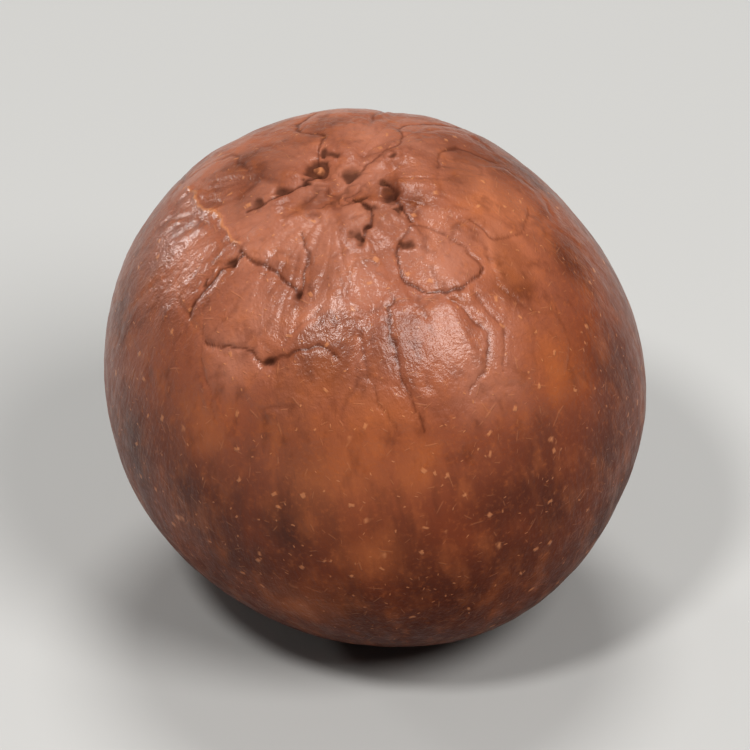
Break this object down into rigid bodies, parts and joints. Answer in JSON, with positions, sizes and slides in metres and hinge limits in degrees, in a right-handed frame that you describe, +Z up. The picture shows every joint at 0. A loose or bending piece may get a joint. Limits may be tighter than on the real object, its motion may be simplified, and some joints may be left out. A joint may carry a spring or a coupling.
{
  "type": "macadamia nut in shell",
  "caption": "Whole macadamia nut in its brown woody shell: a near-round ball with a creased stem scar on top and a small flat spot to rest on.",
  "frame": {"origin": "middle of the nut's width and depth, level with the small flat spot that it rests on", "axes": "+Z up from the flat spot to the stem scar's end, +X to the right and -Y to the front, where the scar's creases run down"},
  "size_m": [0.0246, 0.024, 0.0242],
  "materials": {
    "woody_shell": "hard woody nut shell, satin with a soft natural gloss, reddish brown with darker creases, fine streaks and small pale flecks"
  },
  "bodies": {
    "root": {"nut_in_shell": "woody_shell"}
  },
  "joints": []
}
